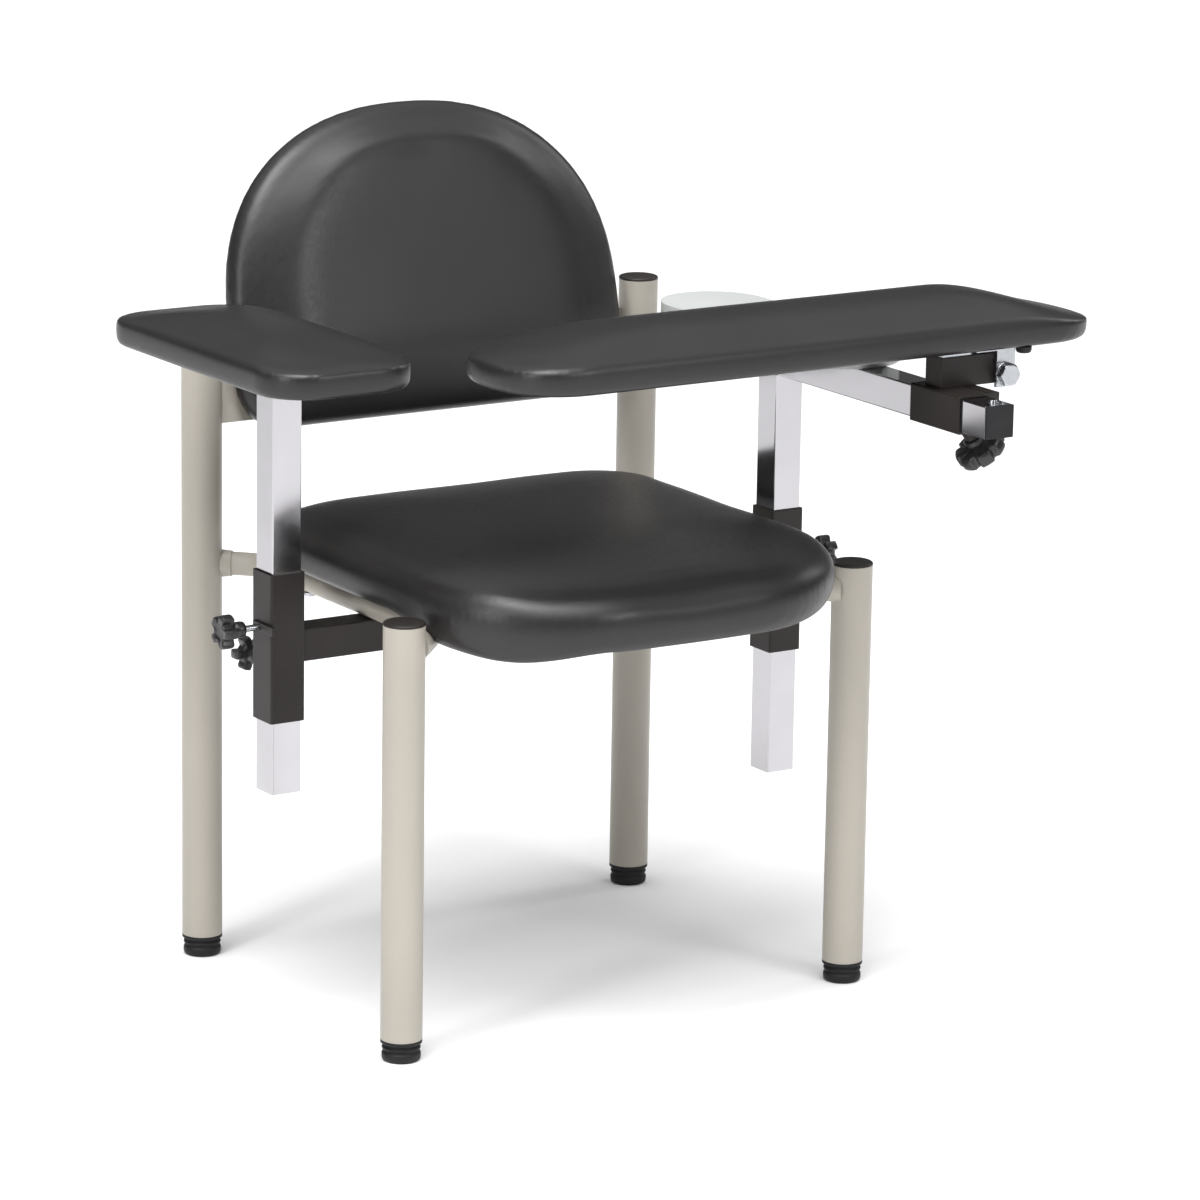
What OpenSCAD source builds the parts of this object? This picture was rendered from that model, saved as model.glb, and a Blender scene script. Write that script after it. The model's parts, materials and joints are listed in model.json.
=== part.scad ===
// Blood-draw chair: four round legs, a crowned seat and a leaning round-topped back,
// a padded armrest on one side and, on the other, a padded arm that flips up.
// Frame: +X to the right of someone who faces the chair, -Y towards that person, +Z up,
// the origin on the floor midway between the legs.

/* [Legs] */
// Outer diameter of the round legs
leg_d = 38; // [32:1:45]
// Wall of the round legs
leg_wall = 2; // [1.5:0.5:3]
// Distance between the axes of the left and right legs
leg_span_x = 482; // [460:2:540]
// Distance between the axes of the front and rear legs
leg_span_y = 372; // [350:2:430]
// Height of the top of the front leg tubes
front_leg_top = 402; // [395:1:430]
// Height of the top of the rear leg tubes
rear_leg_top = 610; // [590:2:660]
// Height of the foot glide below each leg tube
glide_h = 20; // [14:1:30]
// Thickness of the cap on each leg
cap_t = 3; // [2:0.5:6]
// Depth that a cap or a glide reaches into its tube
plug_depth = 14; // [8:1:25]

/* [Seat frame] */
// Outer diameter of the seat rails
rail_d = 22; // [18:1:26]
// Wall of the seat rails
rail_wall = 1.5; // [1:0.5:2.5]
// Height of the axis of the seat rails
rail_z = 380; // [370:1:384]
// Distance from the centre plane to the axis of a side rail
rail_x = 185; // [170:1:190]
// Centre-line radius of the bends in the side rails
rail_bend_r = 75; // [60:1:85]
// Distance of each cross rail from the middle of the frame
cross_rail_y = 100; // [70:2:104]

/* [Seat] */
// Width of the seat
seat_w = 430; // [410:2:436]
// Depth of the seat from front to back
seat_depth = 468; // [430:2:500]
// Place of the rear edge of the seat
seat_rear_y = 162; // [150:1:164]
// Corner radius at the front of the seat
seat_front_r = 140; // [100:5:170]
// Corner radius at the rear of the seat
seat_rear_r = 95; // [70:5:150]
// Thickness of the seat board
seat_board_t = 12; // [9:1:18]
// Height of the seat cushion's side above its board
seat_side_h = 26; // [18:1:36]
// Height of the crown above the cushion's side
seat_crown_h = 23; // [10:1:30]

/* [Back] */
// Width of the back
back_w = 430; // [400:2:434]
// Height of the back along its own slope
back_h = 302; // [280:1:350]
// Height of the round top part of the back
back_arch_h = 195; // [160:1:220]
// Lean of the back from upright, in degrees
back_lean = 14.5; // [8:0.5:16]
// Height of the lower rear edge of the back
back_bottom_z = 502; // [490:1:510]
// Place of the lower rear edge of the back
back_rear_y = 169; // [166:1:176]
// Thickness of the covered board of the back
back_board_t = 9; // [7:1:14]
// Depth of the back cushion's side in front of its board
back_side_h = 20; // [14:1:28]
// Height of the crown in front of the back cushion's side
back_crown_h = 14; // [5:1:20]

/* [Arm supports] */
// Side of the chromed square tubes and of the dark cross tube
tube_s = 30; // [25:1:32]
// Wall of the square tubes
tube_wall = 1.5; // [1.2:0.1:2]
// Side of the dark square sleeves
sleeve_s = 35; // [34:0.5:38]
// Gap between a sleeve and the tube inside it, on each side
slide_gap = 0.3; // [0.2:0.05:0.5]
// Length of the two upright sleeves
sleeve_len = 138; // [110:2:160]
// Place of the cross tube and the uprights from front to back
arm_y = -28; // [-40:1:0]
// Distance from the centre plane to the left upright
left_x = 279; // [270:1:300]
// Distance from the centre plane to the right upright
right_x = 264; // [262:1:290]
// Length of the left upright tube
left_upright_len = 394; // [340:2:410]
// Length of the right upright tube
right_upright_len = 388; // [340:2:400]

/* [Armrests] */
// Height of the underside of the left armrest
left_pad_z = 615; // [600:1:640]
// Width of the left armrest
left_pad_w = 154; // [130:2:160]
// Length of the left armrest
left_pad_len = 342; // [300:2:360]
// Corner radius of the left armrest
left_pad_r = 58; // [40:1:62]
// Distance that the left armrest sits outside its upright
left_pad_out = 22; // [0:1:30]
// Thickness of the boards inside the armrests
pad_board_t = 12; // [9:1:15]
// Height of an armrest cushion's side above its board
pad_side_h = 11; // [8:1:16]
// Height of the crown above the left armrest cushion's side
left_crown_h = 16; // [8:1:22]
// Height of the axis of the front-to-back arm tube
arm_tube_z = 569; // [560:1:575]
// Reach of the arm tube in front of its upright's axis
arm_reach = 345; // [300:5:360]
// Reach of the arm tube behind its upright's axis
arm_rear_reach = 90; // [40:5:120]
// Width of the light side plate
side_plate_w = 104; // [80:2:120]
// Length of the light side plate
side_plate_len = 320; // [240:5:330]
// Thickness of the light side plate
side_plate_t = 18; // [12:1:19]

/* [Flip arm] */
// Length of the slider along the arm tube
slider_len = 74; // [60:2:80]
// Distance from the arm tube's front end to the slider
slider_setback = 37; // [30:1:45]
// Height of the hinge box on top of the slider
hinge_box_h = 28; // [26:1:32]
// Width of the hinge box
hinge_box_w = 76; // [66:1:78]
// Depth of the hinge box from front to back
hinge_box_d = 25; // [22:1:30]
// Distance from the arm tube's axis to the hinge axis
hinge_out = 57.5; // [50:0.5:65]
// Diameter of the hinge bolt
hinge_bolt_d = 12; // [8:1:12]
// Width of the flip arm pad
flip_w = 156; // [140:2:170]
// Length of the flip arm pad
flip_len = 634; // [500:2:640]
// Height of the crown above the flip arm cushion's side
flip_crown_h = 23; // [10:1:28]
// Distance that the flip arm pad reaches outside the hinge axis
flip_outer = 117; // [95:1:125]

/* [Knobs] */
// Diameter of the threaded studs
stud_d = 6; // [5:0.5:8]
// Diameter across the lobes of the sleeve knobs
knob_d = 32; // [28:1:36]
// Diameter across the lobes of the slider knob
slider_knob_d = 47; // [40:1:50]
// Tilt of the slider knob from upright, in degrees
slider_knob_tilt = 38; // [20:1:45]

/* [Hidden] */
$fn = 48;

// Overrun of every cut beyond the face that it opens
cut = 1;
// Clearance of soft solids and of loose plugs from their neighbours
soft_gap = 0.3;
plug_gap = 0.1;
// Clearance of a turning shaft in its hole, on each side
run_gap = 0.05;

// Colours
leg_colour = [0.80, 0.78, 0.74];
dark_colour = [0.22, 0.19, 0.18];
black_colour = [0.10, 0.10, 0.11];
chrome_colour = [0.82, 0.83, 0.86];
vinyl_colour = [0.20, 0.19, 0.20];
plate_colour = [0.87, 0.88, 0.86];

// Legs
leg_r = leg_d / 2;
leg_x = leg_span_x / 2;
leg_y = leg_span_y / 2;
leg_bore_r = leg_r - leg_wall;
glide_foot_r = leg_r - 0.5 * leg_wall;
glide_foot_share = 0.45;
glide_neck_r = leg_r - 1.5 * leg_wall;
glide_collar_share = 0.15;
glide_rib_share = 0.07;
cap_edge = cap_t / 3;

// Seat frame
rail_r = rail_d / 2;
rail_turn = acos(1 - (leg_x - rail_x) / rail_bend_r);
rail_run = leg_y - rail_bend_r * sin(rail_turn);
weld_flare = 3;
weld_len = 9;
seat_screw_r = 3;
seat_screw_y = 80;
screw_head_share = 2;
screw_rim_share = 0.8;
screw_head_h = 3.5;
seat_board_z = rail_z + rail_r;

// Seat
seat_side_overhang = 21;
seat_front_overhang = 4;
seat_rear_overhang = 14;
seat_crown_power = 5;
seat_front_y = seat_rear_y - seat_depth;
seat_cushion_z = seat_board_z + seat_board_t;
seat_screw_bite = 8;

// Back
back_arch_power = 2.25;
back_corner_r = 46;
back_board_inset = 3;
back_crown_reach = 150;
back_crown_power = 4;
bracket_t = 3;
bracket_h = 68;
bracket_low = 14;
bracket_inner_x = 150;
bracket_bolt_x = 172;
bracket_bolt_edge = 14;
back_bolt_r = 3;

// Arm supports
sleeve_bore = tube_s + 2 * slide_gap;
sleeve_wall = (sleeve_s - sleeve_bore) / 2;
cross_z = rail_z - rail_r - tube_s / 2;
tube_edge_r = 1.2;
sleeve_edge_r = 2;
knob_side_rise = 18.5;
knob_rear_drop = 20;
knob_side_z = cross_z + knob_side_rise;
knob_rear_z = cross_z - knob_rear_drop;
nut_plate_w = 8;
nut_plate_t = 2.5;
nut_plate_up = 12;
nut_plate_down = 24;

// Armrests
pad_plate_t = 3;
pad_plate_w = 70;
pad_plate_l = 120;
pad_screw_r = 2;
pad_screw_x = 26;
pad_screw_y = 48;
left_upright_top = left_pad_z - pad_plate_t;
left_pad_shift = -6;
left_pad_y = arm_y + left_pad_shift;
crown_end_share = 2.2;
flip_end_share = 2.8;
pad_crown_power = 2;
pad_edge_in = 2;
arm_tube_bottom = arm_tube_z - tube_s / 2;
arm_tube_top = arm_tube_z + tube_s / 2;
arm_tube_front = arm_y - arm_reach;
arm_tube_back = arm_y + arm_rear_reach;
end_plug_t = 2.5;
side_plate_shift = 6;
side_plate_y = arm_y + side_plate_shift;
plate_screw_r = 2.5;
plate_screw_front = 92;
plate_screw_rear = 68;
plate_screw_bite = 12;
end_plug_depth = 5;
stop_screw_r = 2;
stop_screw_setback = 9;
stop_screw_y = arm_tube_front + stop_screw_setback;

// Slider, hinge and flip arm
slider_front = arm_tube_front + slider_setback;
slider_top = arm_tube_z + sleeve_s / 2;
slider_bottom = arm_tube_z - sleeve_s / 2;
hinge_box_wall = 2;
hinge_box_setback = 37;
hinge_box_front = slider_front + hinge_box_setback;
hinge_box_back = hinge_box_front + hinge_box_d;
hinge_x = right_x + hinge_out;
hinge_box_past = 8.5;
hinge_box_right = hinge_x + hinge_box_past;
hinge_box_left = hinge_box_right - hinge_box_w;
hinge_rise = 8.5;
hinge_z = slider_top + hinge_rise;
hinge_bolt_r = hinge_bolt_d / 2;
gusset_w = 11;
gusset_h = 12;
ear_t = 4;
ear_gap = 0.4;
ear_w = 20;
ear_drop = 12;
ear_reach = 9;
ear_left = hinge_x - ear_reach;
web_t = 2;
web_rise = 2.5;
web_reach = 32;
web_left = hinge_x - web_reach;
flip_z = slider_top + hinge_box_h + web_rise + web_t;
flip_overhang = 18;
flip_front = hinge_box_front - flip_overhang;
flip_y = flip_front + flip_w / 2;
flip_right = hinge_x + flip_outer;
flip_x = flip_right - flip_len / 2;
rest_strip_l = 32;
rest_strip_w = 20;
bolt_head_h = 8;
bolt_head_flats = 19;
washer_t = 2;
washer_r = 11;
nut_h = 10;
bolt_tail = 3;
flip_screw_r = 2.5;
flip_screw_left = 25;
flip_screw_right = 6;
bumper_r = 7.5;
bumper_h = 6;
bumper_out = 20;
bumper_front = 5;
bumper_x = hinge_x + bumper_out;
bumper_y = hinge_box_front - bumper_front;

// Knobs
stud_r = stud_d / 2;
stud_show = 19;
hub_len = 13;
hub_r = 7.5;
star_t = 12.5;
lobe_share = 0.24;
core_share = 0.62;
slider_stud_show = 8;
slider_hub_len = 8;
slider_hub_r = 10;
slider_star_t = 13;
slider_knob_out = 2;
slider_knob_setback = 10;
slider_knob_x = right_x + slider_knob_out;
slider_knob_y = slider_front + slider_knob_setback;
slider_nut_r = 7;
slider_nut_len = 7;

// Cushion forms: counts, and the profiles from the lower edge to the middle of the crown
corner_steps = 10;
end_steps = 20;
arch_steps = 36;
// Each ring's inset and height, as shares of the crown's reach and of the side's height
side_in_shares = [0.07, 0.02, 0, 0, 0.012];
side_up_shares = [0, 0.15, 0.45, 0.8, 1];
crown_in_shares = [0.045, 0.10, 0.17, 0.27, 0.41, 0.60, 0.84];
// Least corner radius of an inner ring, as a share of its half width
ring_corner_share = 0.4;

// Points along an arc about c, from one angle to another
function arc_points(c, r, from, to, steps) =
  [for (k = [0:steps]) let (a = from + (to - from) * k / steps)
    [c[0] + r * cos(a), c[1] + r * sin(a)]];

// Rounded rectangle between two x and two y values, with its own radius at the front and rear
function seat_outline(x, front, rear, front_r, rear_r) = concat(
  arc_points([x - front_r, front + front_r], front_r, -90, 0, corner_steps),
  arc_points([x - rear_r, rear - rear_r], rear_r, 0, 90, corner_steps),
  arc_points([-x + rear_r, rear - rear_r], rear_r, 90, 180, corner_steps),
  arc_points([-x + front_r, front + front_r], front_r, 180, 270, corner_steps));

// Seat outline drawn in by d on every side
function seat_ring(d) = let (x = seat_w / 2 - d, least = ring_corner_share * x)
  seat_outline(x, seat_front_y + d, seat_rear_y - d,
    max(seat_front_r - d, least), max(seat_rear_r - d, least));

// Outline of a bar with half-round ends along Y, drawn in by d across and by e along
function bar_outline(w, len, d, e) = let (r = w / 2 - d, c = len / 2 - e - r) concat(
  arc_points([0, -c], r, -180, 0, end_steps),
  arc_points([0, c], r, 0, 180, end_steps));

// Outline of the left armrest about its middle, drawn in by d across and by e along
function left_pad_outline(d, e) = let (x = left_pad_w / 2 - d, y = left_pad_len / 2 - e,
  r = max(left_pad_r - d, ring_corner_share * x)) seat_outline(x, -y, y, r, r);

// Outline of the back, drawn in by d: a rounded top on straight sides and small lower corners
function back_outline(d) = let (x = back_w / 2 - d,
    r = max(back_corner_r - d, ring_corner_share * back_corner_r),
    base = max(back_h - back_arch_h, d + r), arch = back_h - d - base) concat(
  [for (k = [0:arch_steps]) let (a = 180 * k / arch_steps, c = cos(a), s = sin(a))
    [x * sign(c) * pow(abs(c), 2 / back_arch_power), base + arch * pow(s, 2 / back_arch_power)]],
  arc_points([-x + r, d + r], r, 180, 270, corner_steps / 2),
  arc_points([x - r, d + r], r, 270, 360, corner_steps / 2));

// Insets and heights of all the rings of a crowned cushion
function cushion_insets(reach, end_share = 1) =
  concat([for (s = side_in_shares) s * reach], [for (s = crown_in_shares) s * reach * end_share]);
function cushion_heights(side, crown, power) =
  concat([for (s = side_up_shares) s * side],
    [for (s = crown_in_shares) side + crown * (1 - pow(1 - s, power))]);

// Middle of a ring
function sum_of(list, i = 0) = i < len(list) ? list[i] + sum_of(list, i + 1) : 0;
function middle(ring) = [for (j = [0:2]) sum_of([for (p = ring) p[j]]) / len(ring)];

// Closed skin over rings that run counter-clockwise and rise, with a given top point
module loft(rings, top) {
  n = len(rings[0]);
  m = len(rings);
  points = concat([for (r = rings) each r], [middle(rings[0]), top]);
  sides = [for (k = [0:m - 2], i = [0:n - 1])
    let (a = k * n + i, b = k * n + (i + 1) % n, c = a + n, d = b + n) each [[a, c, d], [a, d, b]]];
  floor_faces = [for (i = [0:n - 1]) [m * n, i, (i + 1) % n]];
  roof_faces = [for (i = [0:n - 1])
    [m * n + 1, (m - 1) * n + (i + 1) % n, (m - 1) * n + i]];
  polyhedron(points, concat(sides, floor_faces, roof_faces));
}

// Basic shapes
module round_tube(d, wall, h) {
  linear_extrude(h) difference() {
    circle(d = d);
    circle(d = d - 2 * wall);
  }
}

module rounded_square(side, r) {
  square([side - 2 * r, side], center = true);
  square([side, side - 2 * r], center = true);
  for (x = [-1, 1], y = [-1, 1])
    translate([x * (side / 2 - r), y * (side / 2 - r)]) circle(r, $fn = 16);
}

module square_tube(side, bore, r, h) {
  linear_extrude(h) difference() {
    rounded_square(side, r);
    square(bore, center = true);
  }
}

// Box between two corners
module cube_from(low, high) {
  translate(low) cube(high - low);
}

// Turns a shape that is drawn upwards so that it points along +Y
module along_y() {
  rotate([-90, 0, 0]) children();
}

// Turns a shape that is drawn upwards so that it points along +X
module along_x() {
  rotate([0, 90, 0]) children();
}

module pan_screw(r, len) {
  cylinder(r = r, h = len);
  head = screw_head_share * r;
  translate([0, 0, -screw_head_h]) cylinder(r1 = screw_rim_share * head, r2 = head, h = screw_head_h);
}

module hexagon(flats, h) {
  cylinder(d = flats / cos(30), h = h, $fn = 6);
}

// Legs, caps and glides
module leg(side_x, side_y, top) {
  color(leg_colour) translate([side_x * leg_x, side_y * leg_y, glide_h])
    round_tube(leg_d, leg_wall, top - glide_h);
}

module cap() {
  cylinder(r = leg_r, h = cap_t - cap_edge);
  translate([0, 0, cap_t - cap_edge]) cylinder(r1 = leg_r, r2 = leg_r - cap_edge, h = cap_edge);
  translate([0, 0, -plug_depth]) cylinder(r = leg_bore_r - plug_gap, h = plug_depth);
}

module leg_caps() {
  color(dark_colour) for (x = [-1, 1], y = [-1, 1])
    translate([x * leg_x, y * leg_y, y < 0 ? front_leg_top : rear_leg_top]) cap();
}

module glide(side_x, side_y) {
  foot = glide_foot_share * glide_h;
  rib = glide_rib_share * glide_h;
  collar = glide_collar_share * glide_h;
  color(black_colour) translate([side_x * leg_x, side_y * leg_y, 0]) {
    cylinder(r1 = glide_foot_r - rib, r2 = glide_foot_r, h = rib);
    translate([0, 0, rib]) cylinder(r = glide_foot_r, h = foot - 2 * rib);
    translate([0, 0, foot - rib]) cylinder(r1 = glide_foot_r, r2 = glide_neck_r, h = rib);
    translate([0, 0, foot]) cylinder(r = glide_neck_r, h = glide_h - foot - collar);
    translate([0, 0, glide_h - collar]) cylinder(r = leg_r, h = collar);
    translate([0, 0, glide_h]) cylinder(r = leg_bore_r - plug_gap, h = plug_depth);
  }
}

// Round bar of radius r along the right rail: straight, with an outward bend to each leg
module rail_path(r) {
  for (y = [0, 1]) mirror([0, y, 0]) {
    translate([rail_x, 0, 0]) along_y() linear_extrude(rail_run) circle(r);
    bend_place() mirror([1, 0, 0]) rotate_extrude(angle = rail_turn) translate([rail_bend_r, 0]) circle(r);
  }
}

// Centre of the rear bend
module bend_place() {
  translate([rail_x + rail_bend_r, rail_run, 0]) children();
}

// Weld collars that flare towards the legs
module rail_collars() {
  turn = rail_turn - asin((leg_r + weld_len) / rail_bend_r);
  for (y = [0, 1]) mirror([0, y, 0]) bend_place() rotate([0, 0, -turn])
    translate([-rail_bend_r, 0, 0]) along_y()
      cylinder(r1 = rail_r + weld_flare / 3, r2 = rail_r + weld_flare, h = weld_len + leg_r / 2);
}

// Side rail on the right; the left one is its mirror image
module side_rail() {
  color(leg_colour) difference() {
    translate([0, 0, rail_z]) difference() {
      union() {
        rail_path(rail_r);
        rail_collars();
      }
      rail_path(rail_r - rail_wall);
    }
    for (y = [-1, 1]) {
      translate([leg_x, y * leg_y, rail_z - leg_d]) cylinder(r = leg_r, h = 2 * leg_d);
      translate([rail_x, y * seat_screw_y, rail_z - rail_d])
        cylinder(r = seat_screw_r + plug_gap, h = 2 * rail_d);
    }
  }
}

module side_rail_left() {
  mirror([1, 0, 0]) side_rail();
}

module side_rail_right() {
  side_rail();
}

module cross_rail(y) {
  color(leg_colour) difference() {
    translate([-rail_x, y, rail_z]) along_x() round_tube(rail_d, rail_wall, 2 * rail_x);
    for (x = [-1, 1]) translate([x * rail_x, y - rail_d, rail_z]) along_y()
      cylinder(r = rail_r, h = 2 * rail_d);
  }
}

module cross_rail_front() {
  cross_rail(-cross_rail_y);
}

module cross_rail_rear() {
  cross_rail(cross_rail_y);
}

// Dark cross tube under the rails, between the two sleeves
module cross_tube() {
  color(dark_colour) translate([-left_x + sleeve_s / 2, arm_y, cross_z]) along_x()
    square_tube(tube_s, tube_s - 2 * tube_wall, tube_edge_r, left_x + right_x - sleeve_s);
}

// Upright sleeve, with out = -1 on the left and 1 on the right
module sleeve(x, out) {
  color(dark_colour) difference() {
    translate([x, arm_y, cross_z - sleeve_len / 2])
      square_tube(sleeve_s, sleeve_bore, sleeve_edge_r, sleeve_len);
    side_stud_place(x, out) translate([0, 0, -sleeve_s / 4])
      cylinder(r = stud_r + run_gap, h = sleeve_s / 2);
    rear_stud_place(x) translate([0, 0, -sleeve_s / 4])
      cylinder(r = stud_r + run_gap, h = sleeve_s / 2);
  }
}

module sleeve_left() {
  sleeve(-left_x, -1);
}

module sleeve_right() {
  sleeve(right_x, 1);
}

// Frames on the outer faces of a sleeve, with +Z pointing away from the tube
module side_stud_place(x, out) {
  translate([x + out * sleeve_s / 2, arm_y, knob_side_z]) rotate([0, out * 90, 0]) children();
}

module rear_stud_place(x) {
  translate([x, arm_y + sleeve_s / 2, knob_rear_z]) along_y() children();
}

module slider_stud_place() {
  translate([slider_knob_x, slider_knob_y, slider_bottom]) rotate([0, 180 - slider_knob_tilt, 0])
    children();
}

// Flat nut plates that are welded on the sleeves, each with its stud's hole
module nut_plate() {
  difference() {
    cube_from([-nut_plate_w / 2, -nut_plate_down, 0], [nut_plate_w / 2, nut_plate_up, nut_plate_t]);
    translate([0, 0, -cut]) cylinder(r = stud_r + run_gap, h = nut_plate_t + 2 * cut);
  }
}

module sleeve_nuts() {
  color(dark_colour) {
    side_stud_place(-left_x, -1) nut_plate();
    side_stud_place(right_x, 1) nut_plate();
    rear_stud_place(-left_x) nut_plate();
    rear_stud_place(right_x) nut_plate();
  }
}

// Seat
module seat_board() {
  color(vinyl_colour) difference() {
    translate([0, 0, seat_board_z]) linear_extrude(seat_board_t)
      polygon(seat_outline(seat_w / 2 - seat_side_overhang, seat_front_y + seat_front_overhang,
        seat_rear_y - seat_rear_overhang, seat_front_r - seat_side_overhang,
        seat_rear_r - seat_side_overhang));
    for (x = [-1, 1], y = [-1, 1])
      translate([x * rail_x, y * seat_screw_y, seat_board_z - cut])
        cylinder(r = seat_screw_r + plug_gap, h = seat_screw_bite + cut);
  }
}

module seat_cushion() {
  insets = cushion_insets(seat_w / 2);
  heights = cushion_heights(seat_side_h, seat_crown_h, seat_crown_power);
  color(vinyl_colour) translate([0, 0, seat_cushion_z])
    loft([for (k = [0:len(insets) - 1]) [for (p = seat_ring(insets[k])) [p[0], p[1], heights[k]]]],
      [0, (seat_front_y + seat_rear_y) / 2, seat_side_h + seat_crown_h]);
}

module seat_screws() {
  color(chrome_colour) for (x = [-1, 1], y = [-1, 1])
    translate([x * rail_x, y * seat_screw_y, rail_z - rail_r])
      pan_screw(seat_screw_r, rail_d + seat_screw_bite);
}

// Back: drawn in its own frame, with X across, Y along the outline and Z towards the sitter
module back_place() {
  translate([0, back_rear_y, back_bottom_z]) rotate([90 - back_lean, 0, 0]) children();
}

module back_board() {
  color(vinyl_colour) back_place() difference() {
    linear_extrude(back_board_t) polygon(back_outline(back_board_inset));
    back_bolt_places() translate([0, 0, -cut]) cylinder(r = back_bolt_r + plug_gap, h = back_board_t);
  }
}

module back_cushion() {
  insets = cushion_insets(back_crown_reach);
  heights = cushion_heights(back_side_h, back_crown_h, back_crown_power);
  color(vinyl_colour) back_place() translate([0, 0, back_board_t])
    loft([for (k = [0:len(insets) - 1]) [for (p = back_outline(insets[k])) [p[0], p[1], heights[k]]]],
      [0, back_h / 2, back_side_h + back_crown_h]);
}

module back_bolt_places() {
  for (x = [-1, 1], z = [bracket_low + bracket_bolt_edge, bracket_low + bracket_h - bracket_bolt_edge])
    translate([x * bracket_bolt_x, z, 0]) children();
}

// Flat bars from the rear legs across the lower rear of the back
module back_brackets() {
  color(leg_colour) difference() {
    back_place() {
      cube_from([bracket_inner_x, bracket_low, -bracket_t], [leg_x, bracket_low + bracket_h, 0]);
      cube_from([-leg_x, bracket_low, -bracket_t], [-bracket_inner_x, bracket_low + bracket_h, 0]);
    }
    for (x = [-1, 1]) translate([x * leg_x, leg_y, glide_h]) cylinder(r = leg_r, h = rear_leg_top);
    back_place() back_bolt_places() translate([0, 0, -bracket_t - cut])
      cylinder(r = back_bolt_r + plug_gap, h = bracket_t + 2 * cut);
  }
}

module back_bolts() {
  color(chrome_colour) back_place() back_bolt_places() translate([0, 0, -bracket_t])
    pan_screw(back_bolt_r, bracket_t + back_board_t - 2 * cut);
}

// Left armrest
module left_upright() {
  color(chrome_colour) translate([-left_x, arm_y, left_upright_top - left_upright_len])
    square_tube(tube_s, tube_s - 2 * tube_wall, tube_edge_r, left_upright_len);
}

module left_screw_places() {
  for (x = [-1, 1], y = [-1, 1])
    translate([-left_x + x * pad_screw_x, arm_y + y * pad_screw_y, 0]) children();
}

module left_pad_plate() {
  color(dark_colour) difference() {
    translate([-left_x - pad_plate_w / 2, arm_y - pad_plate_l / 2, left_upright_top])
      cube([pad_plate_w, pad_plate_l, pad_plate_t]);
    left_screw_places() translate([0, 0, left_upright_top - cut])
      cylinder(r = pad_screw_r + plug_gap, h = pad_plate_t + 2 * cut);
  }
}

module left_pad_place() {
  translate([-left_x - left_pad_out, left_pad_y, left_pad_z]) children();
}

// Crowned cushion over rings of points that stand on their board
module pad_cushion(rings, crown) {
  heights = cushion_heights(pad_side_h, crown, pad_crown_power);
  translate([0, 0, pad_board_t])
    loft([for (k = [0:len(rings) - 1]) [for (p = rings[k]) [p[0], p[1], heights[k]]]],
      [0, 0, pad_side_h + crown]);
}

module left_pad_board() {
  color(vinyl_colour) difference() {
    left_pad_place() linear_extrude(pad_board_t) polygon(left_pad_outline(pad_edge_in, pad_edge_in));
    left_screw_places() translate([0, 0, left_pad_z - cut])
      cylinder(r = pad_screw_r + plug_gap, h = pad_board_t / 2 + cut);
  }
}

module left_pad_cushion() {
  across = cushion_insets(left_pad_w / 2);
  along = cushion_insets(left_pad_w / 2, crown_end_share);
  color(vinyl_colour) left_pad_place()
    pad_cushion([for (k = [0:len(across) - 1]) left_pad_outline(across[k], along[k])], left_crown_h);
}

module left_pad_screws() {
  color(chrome_colour) left_screw_places() translate([0, 0, left_upright_top])
    pan_screw(pad_screw_r, pad_plate_t + pad_board_t / 2 - pad_screw_r / 2);
}

// Right support
module right_upright() {
  color(chrome_colour) translate([right_x, arm_y, arm_tube_bottom - right_upright_len])
    square_tube(tube_s, tube_s - 2 * tube_wall, tube_edge_r, right_upright_len);
}

module plate_screw_places() {
  for (y = [arm_y - plate_screw_front, arm_y + plate_screw_rear])
    translate([right_x, y, arm_tube_bottom]) children();
}

module arm_tube() {
  color(chrome_colour) difference() {
    translate([right_x, arm_tube_front, arm_tube_z]) along_y()
      square_tube(tube_s, tube_s - 2 * tube_wall, tube_edge_r, arm_tube_back - arm_tube_front);
    plate_screw_places() translate([0, 0, -cut])
      cylinder(r = plate_screw_r + plug_gap, h = tube_s + 2 * cut);
    translate([right_x, stop_screw_y, arm_tube_z]) cylinder(r = stop_screw_r + plug_gap, h = tube_s);
  }
}

module end_plug() {
  inner = tube_s - 2 * tube_wall - 2 * plug_gap;
  translate([0, 0, -end_plug_t]) linear_extrude(end_plug_t) rounded_square(tube_s, tube_edge_r);
  translate([-inner / 2, -inner / 2, 0]) cube([inner, inner, end_plug_depth]);
}

module arm_tube_plugs() {
  color(black_colour) {
    translate([right_x, arm_tube_front, arm_tube_z]) along_y() end_plug();
    translate([right_x, arm_tube_back, arm_tube_z]) rotate([90, 0, 0]) end_plug();
  }
}

module side_plate() {
  color(plate_colour) difference() {
    translate([right_x, side_plate_y, arm_tube_top]) linear_extrude(side_plate_t)
      polygon(bar_outline(side_plate_w, side_plate_len, 0, 0));
    plate_screw_places() translate([0, 0, tube_s - cut])
      cylinder(r = plate_screw_r + plug_gap, h = plate_screw_bite + cut);
  }
}

module side_plate_screws() {
  color(chrome_colour) plate_screw_places() pan_screw(plate_screw_r, tube_s + plate_screw_bite - cut);
}

module stop_screw() {
  color(chrome_colour) translate([right_x, stop_screw_y, arm_tube_top]) mirror([0, 0, 1])
    pan_screw(stop_screw_r, tube_wall + stop_screw_r);
}

// Slider
module slider_sleeve() {
  color(dark_colour) difference() {
    translate([right_x, slider_front, arm_tube_z]) along_y()
      square_tube(sleeve_s, sleeve_bore, sleeve_edge_r, slider_len);
    slider_stud_place() translate([0, 0, -sleeve_s / 4]) cylinder(r = stud_r + run_gap, h = sleeve_s / 2);
  }
}

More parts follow.
